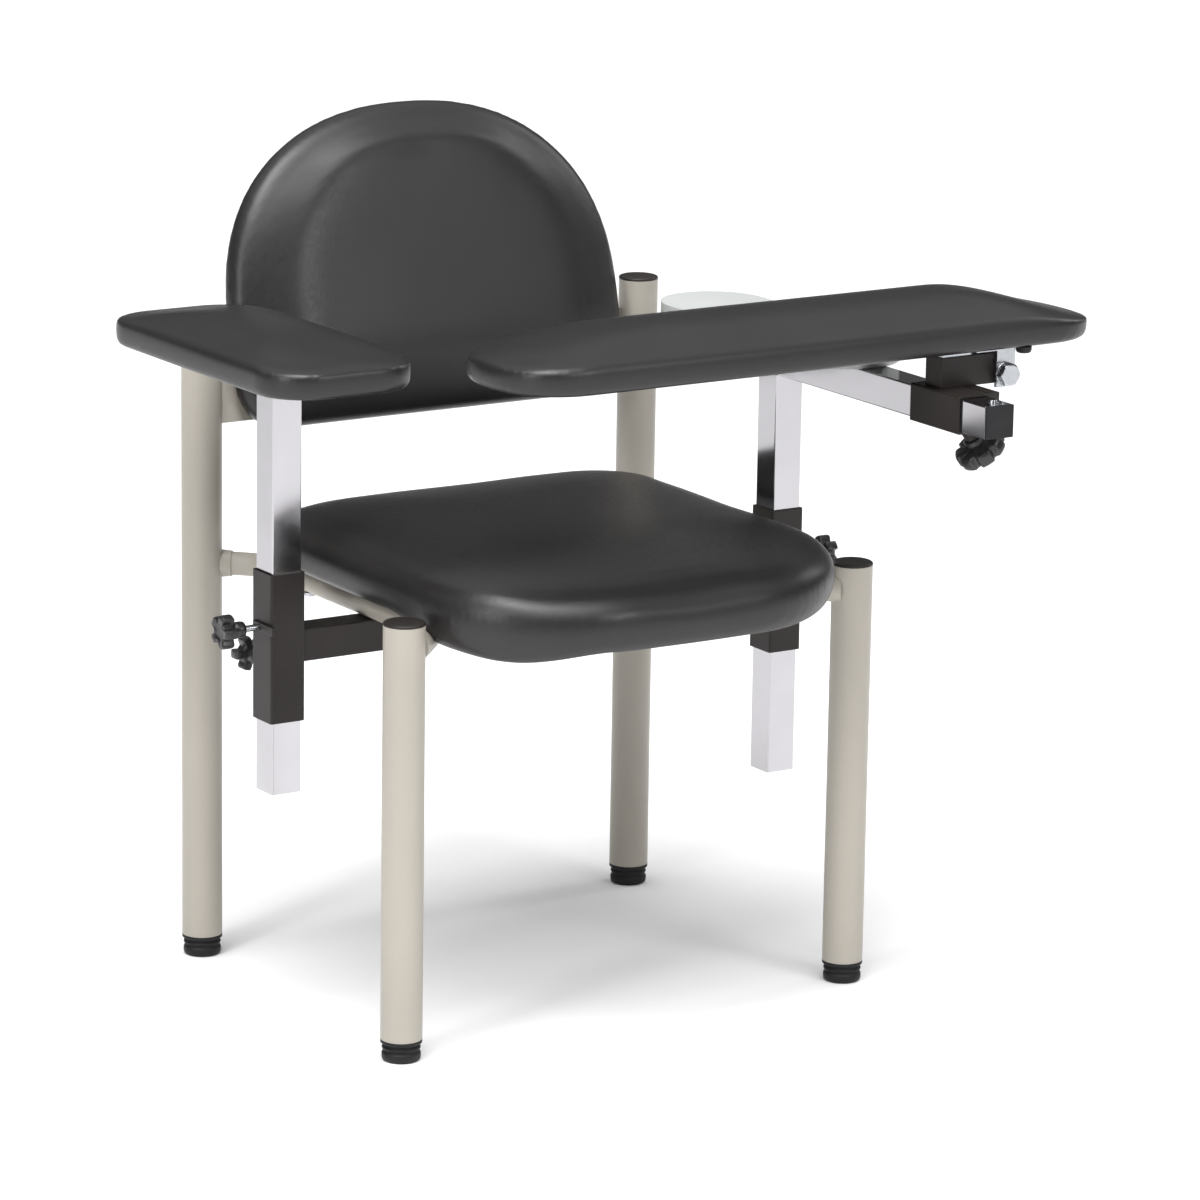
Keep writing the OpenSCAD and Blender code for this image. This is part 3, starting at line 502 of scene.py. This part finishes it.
def back_outline(inset, half):
    x, r = half - inset, max(BACK_CORNER - inset, BACK_LEAST_CORNER * BACK_CORNER)
    base = max(BACK_HEIGHT - BACK_ARCH, inset + r)
    top_inset = inset if inset < BACK_EDGE else BACK_EDGE + (inset - BACK_EDGE) * BACK_TOP_SHARE
    top = BACK_HEIGHT - top_inset - base
    share = 2 / BACK_ARCH_POWER
    arch = []
    for a in np.linspace(0, math.pi, BACK_ARCH_POINTS):
        across = math.copysign(abs(math.cos(a)) ** share, math.cos(a))
        arch.append((x * across, base + top * max(math.sin(a), 0) ** share))
    return even(arch + arc(-x + r, inset + r, r, 180, 270, BACK_CORNER_POINTS)
                + arc(x - r, inset + r, r, 270, 360, BACK_CORNER_POINTS))


def back_cover():
    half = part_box("back_cushion")[1].x
    matrix = back_matrix()
    rings = [[matrix @ Vector((x, y, z)) for x, y in back_outline(d + SWELL, half)]
             for d, z in smooth_profile(BACK_PROFILE)]
    obj = loft("back_cover", rings)
    inverse = np.array(matrix.inverted())

    def at_rear(p):
        return (p @ inverse[:3, :3].T + inverse[:3, 3])[:, 2] < BACK_PIN_DEPTH

    settle(obj, BACK_CAP, at_rear, WIDE_VOXEL)
    polish(obj, BACK_SMOOTHING)
    return obj


# (inset, height above the underside) of an arm pad's upright side
ARM_SIDE = (
    (0.030, 0.0), (0.008, 0.0), (0.003, 0.0006), (0.0012, 0.003), (0.0003, 0.009), (0.0, 0.015),
    (0.0001, 0.0205), (0.0008, 0.0225), (0.0022, 0.0240))
# Crown over the side, as shares of the half width and of the crown's height
ARM_CROWN_SHARES = (
    (0.05, 0.10), (0.10, 0.17), (0.18, 0.27), (0.29, 0.44), (0.42, 0.65), (0.57, 0.84),
    (0.73, 0.95), (0.88, 0.995), (0.94, 1.0))
# Loss of the corner radius for each metre of inset, and its least share of the half width
ARM_CORNER_LOSS, ARM_LEAST_CORNER = 0.8, 0.5
# Length over which the crown fades at each end
ARM_FADE = 0.14
ARM_CAP, ARM_PIN_HEIGHT, ARM_SMOOTHING = 0.003, 0.004, 3
# corner: plan radius; end_share: how much faster the crown draws in at the ends than at the sides;
# ends: share of the crown left at the low and the high end; power: how blunt the ends are in plan;
# wall: share of the side above which the ends are lowered
LEFT_ARM = {"corner": 0.048, "end_share": 2.1, "ends": (0.97, 0.40), "power": 2.0, "wall": 0.9}
FLIP_ARM = {"corner": 0.200, "end_share": 2.4, "ends": (0.97, 0.15), "power": 2.5, "wall": 0.6}
# Least distance from the tip that blunt() tells apart, as a share of the radius
LEAST_REACH = 0.02


def blunt(value, low, high, radius, power):
    """How much wider an end of this power is than a round one, at a place along the pad."""
    reach = min(value - low, high - value)
    if reach >= radius:
        return 1.0
    u = 1 - max(reach, LEAST_REACH * radius) / radius
    return (1 - u ** power) ** (1 / power) / math.sqrt(1 - u * u)


def arm_cover(name, board_node, cushion_node, corner, end_share, ends, power, wall):
    """Long arm pad: flat underside, upright sides, a rolled edge and a crown that fades."""
    board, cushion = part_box(board_node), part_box(cushion_node)
    x0, x1 = cushion[0].x + SWELL, cushion[1].x - SWELL
    y0, y1 = cushion[0].y + SWELL, cushion[1].y - SWELL
    lengthwise = (x1 - x0) > (y1 - y0)
    half = min(x1 - x0, y1 - y0) / 2
    middle = (y0 + y1) / 2
    under, side = board[0].z, ARM_SIDE[-1][1]
    crown = cushion[1].z - SWELL - under - side
    over = [(a * half, side + b * crown) for a, b in ARM_CROWN_SHARES]
    profile = smooth_profile(list(ARM_SIDE) + over)
    rings = []
    for d, h in profile:
        e = d * (end_share if h > side else 1.0)
        dx, dy = (e, d) if lengthwise else (d, e)
        r = min(half - d, max(corner - d * ARM_CORNER_LOSS, ARM_LEAST_CORNER * (half - d)))
        ring = []
        for px, py in rounded_outline(x0 + dx, x1 - dx, y0 + dy, y1 - dy, r, r):
            wider = blunt(px, x0 + dx, x1 - dx, r, power) if lengthwise else 1
            ring.append((px, middle + (py - middle) * wider, under + h))
        rings.append(ring)
    obj = loft(name, rings)
    settle(obj, ARM_CAP, lambda p: p[:, 2] < under + ARM_PIN_HEIGHT, FINE_VOXEL)
    p = points_of(obj)
    along, start, stop = (p[:, 0], x0, x1) if lengthwise else (p[:, 1], y0, y1)
    left = 1.0
    for share, distance in zip(ends, (along - start, stop - along)):
        left = left * (1 - (1 - share) * (1 - np.clip(distance / ARM_FADE, 0, 1)) ** 2)
    above = np.maximum(p[:, 2] - under - wall * side, 0)
    p[:, 2] -= above * (1 - left)
    set_points(obj, p)
    polish(obj, ARM_SMOOTHING)
    return obj


def cushions():
    left_nodes = ("left_pad_board", "left_pad_cushion")
    flip_nodes = ("flip_board", "flip_cushion")
    pieces = (
        (seat_cover(), "frame", ("seat_board", "seat_cushion")),
        (back_cover(), "frame", ("back_board", "back_cushion")),
        (arm_cover("left_arm_cover", *left_nodes, **LEFT_ARM), "left_arm", left_nodes),
        (arm_cover("flip_arm_cover", *flip_nodes, **FLIP_ARM), "flip_arm", flip_nodes),
    )
    for obj, body, nodes in pieces:
        finish_piece(obj, body, "black_vinyl", nodes)


# Small turned and moulded pieces. Their profiles are (radius, height) in metres.

LEGS = ("front_left", "front_right", "rear_left", "rear_right")
GLIDE_PROFILE = [
    (0.0140, 0.0), (0.0158, 0.0004), (0.0172, 0.0016), (0.0177, 0.0032), (0.0177, 0.0068),
    (0.0172, 0.0080), (0.0160, 0.0088), (0.0158, 0.0096), (0.0158, 0.0102), (0.0162, 0.0108),
    (0.0174, 0.0114), (0.0176, 0.0124), (0.0172, 0.0134), (0.0160, 0.0142), (0.0158, 0.0150),
    (0.0158, 0.0156), (0.0166, 0.0164), (0.0188, 0.0168), (0.0190, 0.0176), (0.0190, 0.0198),
    (0.0166, 0.0200)]
GLIDE_STEM_R = 0.0166
CAP_STEM_R, CAP_STEM_DEPTH = 0.0169, 0.010
# (distance outside the leg's radius, height) over the rim and the shallow dome of a cap
CAP_DOME = ((0.0, 0.0), (0.0001, 0.0008), (0.0, 0.0016), (-0.0006, 0.0024), (-0.0020, 0.0030),
            (-0.0060, 0.0032), (-0.0120, 0.0030))
LEG_STEPS = 64


def glides():
    for leg in LEGS:
        node = "glide_" + leg
        low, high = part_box(node)
        cx, cy = box_middle(low, high)
        profile = GLIDE_PROFILE + [(GLIDE_STEM_R, high.z)]
        obj = lathe(node + "_foot", profile, Matrix.Translation((cx, cy, 0)), LEG_STEPS)
        finish_piece(obj, "frame", "black_rubber", (node,))


def leg_caps():
    caps = []
    for leg in LEGS:
        low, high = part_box("leg_" + leg)
        cx, cy = box_middle(low, high)
        r = (high.x - low.x) / 2
        stem = [(CAP_STEM_R, -CAP_STEM_DEPTH), (CAP_STEM_R, 0.0)]
        profile = stem + [(r + d, z) for d, z in CAP_DOME]
        caps.append(lathe("cap", profile, Matrix.Translation((cx, cy, high.z)), LEG_STEPS))
    finish_piece(join("leg_cap_discs", caps), "frame", "dark_paint", ("leg_caps",))


STAR_STEPS = 160
# gap: from the joint to the hub; notch: part of each wave over which a lobe rises from the core
SLEEVE_STAR = {"gap": 0.019, "hub_r": 0.0075, "hub_len": 0.013, "radius": 0.016,
               "thickness": 0.0125, "notch": (0.18, 0.72), "core_share": 0.60, "lobes": 5}
SLIDER_STAR = {"gap": 0.008, "hub_r": 0.010, "hub_len": 0.008, "radius": 0.0235,
               "thickness": 0.013, "notch": (0.0, 0.35), "core_share": 0.84, "lobes": 7}
# (share of the hub's radius, height) at the hub's end towards the stud
HUB_END = ((0.86, 0.0), (0.95, 0.0008), (1.0, 0.003))
HUB_BORE_R, HUB_SINK = 0.0045, 0.001
# (share of the radius, height from the star's near face) over its near edge
STAR_NEAR_EDGE = ((0.90, 0.0), (0.965, 0.0008), (1.0, 0.0025))
# The same from its far face, over its far edge and into the shallow dish
STAR_FAR_EDGE = ((1.0, -0.0030), (0.975, -0.0012), (0.92, -0.0002), (0.84, 0.0))
STAR_DISH = ((0.60, 0.0), (0.54, -0.0010), (0.30, -0.0012))
# Size of the dish against the star, growth of its core, and the core's most against the radius
DISH_SHARE, DISH_CORE, DISH_CORE_MOST = 0.86, 1.2, 0.84


def star_ring(radius, core, z, matrix, notch, lobes):
    """Ring of a star knob: lobes of the given radius around a core."""
    ring = []
    for a in circle(STAR_STEPS):
        wave = 0.5 + 0.5 * math.cos(lobes * a)
        r = core + (radius - core) * float(ramp(wave, *notch))
        ring.append(matrix @ Vector((r * math.cos(a), r * math.sin(a), z)))
    return ring


def star_knob(name, node, joint, gap, hub_r, hub_len, radius, thickness, notch, core_share, lobes):
    """Moulded star knob on a hub that narrows towards the stud."""
    m = place_along(joint["pos_m"], joint["axis"])
    core, z0 = core_share * radius, gap + hub_len
    hub_end = [(hub_r * s, gap + z) for s, z in HUB_END]
    hub = lathe("hub", [(HUB_BORE_R, gap)] + hub_end + [(hub_r, z0 + HUB_SINK)], m)
    edges = STAR_NEAR_EDGE + tuple((s, thickness + z) for s, z in STAR_FAR_EDGE)
    rings = [star_ring(radius * s, core * s, z0 + z, m, notch, lobes) for s, z in edges]
    dish_core = min(core * DISH_CORE, radius * DISH_CORE_MOST)
    rings += [star_ring(radius * s * DISH_SHARE, dish_core * s, z0 + thickness + z, m, notch, lobes)
              for s, z in STAR_DISH]
    knob = join(name, [loft("star", rings), hub])
    finish_piece(knob, BODY_OF[node], "knob_plastic", (node,))


def knobs():
    joints = {j["name"]: j for j in frame["joints"]}
    for side in ("left_side", "left_rear", "right_side", "right_rear"):
        star_knob(side + "_star", "knob_" + side, joints[side + "_knob_turn"], **SLEEVE_STAR)
    star_knob("slider_star", "knob_slider", joints["slider_knob_turn"], **SLIDER_STAR)


# The hinge's bolt, nut and washers
HEX_FLATS, HEX_STEPS, HEX_FACE_SHARE, HEX_CHAMFER = 0.019, 96, 0.96, math.radians(30)
WASHER_T = 0.002
WASHER_PROFILE = [(0.0062, 0.0), (0.0106, 0.0), (0.0110, 0.0004), (0.0110, 0.0016),
                  (0.0106, WASHER_T), (0.0062, WASHER_T)]
BOLT_R, BOLT_END_R, BOLT_END_LEN = 0.006, 0.0052, 0.0008


def hex_head(name, height, matrix):
    """Hexagon with the round chamfer of a bolt head on its outer end."""
    inner = HEX_FLATS / 2
    face = inner * HEX_FACE_SHARE
    rings = []
    for level in ("low", "edge", "top"):
        ring = []
        for a in circle(HEX_STEPS):
            corner = inner / math.cos((a % (math.pi / 3)) - math.pi / 6)
            drop = (corner - face) * math.tan(HEX_CHAMFER)
            z = {"low": 0.0, "edge": height - drop, "top": height}[level]
            r = face if level == "top" else corner
            ring.append(matrix @ Vector((r * math.cos(a), r * math.sin(a), z)))
        rings.append(ring)
    return loft(name, rings)


def hinge_hardware():
    """Chamfered bolt head, nut and washers of the hinge."""
    low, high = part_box("hinge_bolt")
    nut_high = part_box("hinge_nut")[1]
    bracket_low, bracket_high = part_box("flip_bracket")
    x, z = (low.x + high.x) / 2, (low.z + high.z) / 2
    front = place_along((x, bracket_low.y, z), (0, -1, 0))
    rear = place_along((x, bracket_high.y, z), (0, 1, 0))
    out = Matrix.Translation((0, 0, WASHER_T))
    head = hex_head("head", bracket_low.y - WASHER_T - low.y, front @ out)
    reach = high.y - bracket_high.y
    shaft = lathe("shaft", [(BOLT_R, -WASHER_T), (BOLT_R, reach - BOLT_END_LEN),
                            (BOLT_END_R, reach)], rear)
    bolt = join("hinge_bolt_hex", [head, shaft])
    nut_height = nut_high.y - bracket_high.y - WASHER_T
    nut = join("hinge_nut_hex", [hex_head("nut", nut_height, rear @ out),
                                 lathe("washer_a", WASHER_PROFILE, front),
                                 lathe("washer_b", WASHER_PROFILE, rear)])
    finish_piece(bolt, "flip_arm", "plated_steel", ("hinge_bolt",), smooth=False)
    finish_piece(nut, "flip_arm", "plated_steel", ("hinge_nut",), smooth=False)


# Shares of the bumper's radius and height: a rubber foot with a recess, and the screw head in it
BUMPER_FOOT = ((0.97, 0.6), (0.88, 0.88), (0.74, 1.0), (0.58, 1.0), (0.56, 0.72), (0.30, 0.72))
BUMPER_FOOT_RIM = 0.001
BUMPER_SCREW = ((0.52, 0.70), (0.52, 0.86), (0.44, 0.96), (0.22, 1.0))


def bumper():
    low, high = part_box("flip_bumper")
    cx, cy = box_middle(low, high)
    r, h = (high.x - low.x) / 2, high.z - low.z
    down = place_along((cx, cy, high.z), (0, 0, -1))
    profile = [(r, 0.0), (r, BUMPER_FOOT_RIM)] + [(r * a, h * b) for a, b in BUMPER_FOOT]
    finish_piece(lathe("bumper_foot", profile, down), "flip_arm", "black_rubber", ("flip_bumper",))
    head = [(r * a, h * b) for a, b in BUMPER_SCREW]
    finish_piece(lathe("bumper_screw", head, down), "flip_arm", "plated_steel")


# The photograph's viewpoint: place in metres, angles in radians and focal length in pixels
CAMERA_PLACE = (-2.7347, -4.3865, 1.6136)
CAMERA_YAW, CAMERA_PITCH, CAMERA_ROLL = 0.5710, 0.2384, 0.0158
FOCAL_PX, PHOTO_PX, SENSOR_MM = 5703.9, 1200, 36
CLIP_END = 100


def camera():
    forward = Vector((math.sin(CAMERA_YAW) * math.cos(CAMERA_PITCH),
                      math.cos(CAMERA_YAW) * math.cos(CAMERA_PITCH), -math.sin(CAMERA_PITCH)))
    level = Vector((math.cos(CAMERA_YAW), -math.sin(CAMERA_YAW), 0))
    upward = level.cross(forward)
    right = math.cos(CAMERA_ROLL) * level + math.sin(CAMERA_ROLL) * upward
    up = -math.sin(CAMERA_ROLL) * level + math.cos(CAMERA_ROLL) * upward
    data = bpy.data.cameras.new("photo_camera")
    data.sensor_fit = "HORIZONTAL"
    data.sensor_width = SENSOR_MM
    data.lens = FOCAL_PX / PHOTO_PX * SENSOR_MM
    data.clip_end = CLIP_END
    obj = bpy.data.objects.new("photo_camera", data)
    turn = Matrix((right, up, -forward)).transposed().to_4x4()
    obj.matrix_world = Matrix.Translation(CAMERA_PLACE) @ turn
    bpy.context.scene.collection.objects.link(obj)
    bpy.context.scene.camera = obj


# Studio: a wide pale floor, a sky that is dark near the horizon, a wide sun and four softboxes
FLOOR_HALF = 70
FLOOR_DARK, FLOOR_LIGHT = (0.95, 0.95, 0.95, 1), (0.97, 0.97, 0.97, 1)
SKY_COLOR = (0.98, 0.985, 1.0, 1)
# Strength of the sky near the horizon and overhead, and the sines of the heights where its
# rise starts and ends
SKY_LOW, SKY_HIGH, SKY_DARK_BELOW, SKY_BRIGHT_ABOVE = 0.10, 0.72, 0.35, 0.80
SUN_STRENGTH, SUN_ANGLE, SUN_PLACE, SUN_FROM = 2.3, math.radians(55), (0, 0, 4), (-0.25, -0.35, 1)
# Name, place, target, width and height, and power of each softbox
SOFTBOXES = (
    ("top_light", (-0.8, -0.6, 3.0), (0, 0, 0.4), (1.3, 1.3), 44),
    ("left_light", (-2.9, -1.2, 1.7), (0, 0, 0.5), (0.5, 1.8), 29),
    ("front_light", (1.0, -3.2, 1.9), (0, 0, 0.6), (1.0, 1.0), 27),
    ("right_light", (3.0, 0.2, 2.2), (0, 0, 0.5), (0.5, 1.6), 14),
)


def add_lamp(light, matrix):
    obj = bpy.data.objects.new(light.name, light)
    obj.matrix_world = matrix
    bpy.context.scene.collection.objects.link(obj)


def softbox(name, place, target, size, power):
    light = bpy.data.lights.new(name, "AREA")
    light.shape = "RECTANGLE"
    light.size, light.size_y = size
    light.energy = power
    add_lamp(light, place_along(place, Vector(place) - Vector(target)))


def pale_floor():
    n = Nodes("pale_floor")
    drift = n.noise(scale=1.5, detail=3.0)
    grain = n.noise(scale=400.0)
    n.shade(Base_Color=n.mix(n.spread(drift, low=0.0, high=1.0), FLOOR_DARK, FLOOR_LIGHT),
            Roughness=n.spread(drift, low=0.75, high=0.85),
            Normal=n.bump(grain, depth=0.0001, strength=0.1))
    corners = [(x * FLOOR_HALF, y * FLOOR_HALF, 0) for x, y in ((-1, -1), (1, -1), (1, 1), (-1, 1))]
    floor = new_object("floor", corners, [(0, 1, 2, 3)])
    floor.data.materials.append(n.material)


def sky():
    world = bpy.data.worlds.new("studio")
    world.use_nodes = True
    tree = world.node_tree
    direction = tree.nodes.new("ShaderNodeTexCoord")
    split = tree.nodes.new("ShaderNodeSeparateXYZ")
    rise = tree.nodes.new("ShaderNodeMapRange")
    rise.interpolation_type = "SMOOTHSTEP"
    tree.links.new(direction.outputs["Generated"], split.inputs[0])
    tree.links.new(split.outputs["Z"], rise.inputs["Value"])
    rise.inputs["From Min"].default_value = SKY_DARK_BELOW
    rise.inputs["From Max"].default_value = SKY_BRIGHT_ABOVE
    rise.inputs["To Min"].default_value = SKY_LOW
    rise.inputs["To Max"].default_value = SKY_HIGH
    background = tree.nodes["Background"]
    background.inputs["Color"].default_value = SKY_COLOR
    tree.links.new(rise.outputs[0], background.inputs["Strength"])
    bpy.context.scene.world = world


def studio():
    pale_floor()
    sky()
    for row in SOFTBOXES:
        softbox(*row)
    sun = bpy.data.lights.new("wide_sun", "SUN")
    sun.energy = SUN_STRENGTH
    sun.angle = SUN_ANGLE
    add_lamp(sun, place_along(SUN_PLACE, SUN_FROM))
    bpy.context.scene.view_settings.view_transform = "Standard"


for node, obj in frame["nodes"].items():
    obj.data.materials.clear()
    obj.data.materials.append(FINISHES[SLOT_OF[node]])

camera()
cushions()
glides()
leg_caps()
knobs()
hinge_hardware()
bumper()
studio()
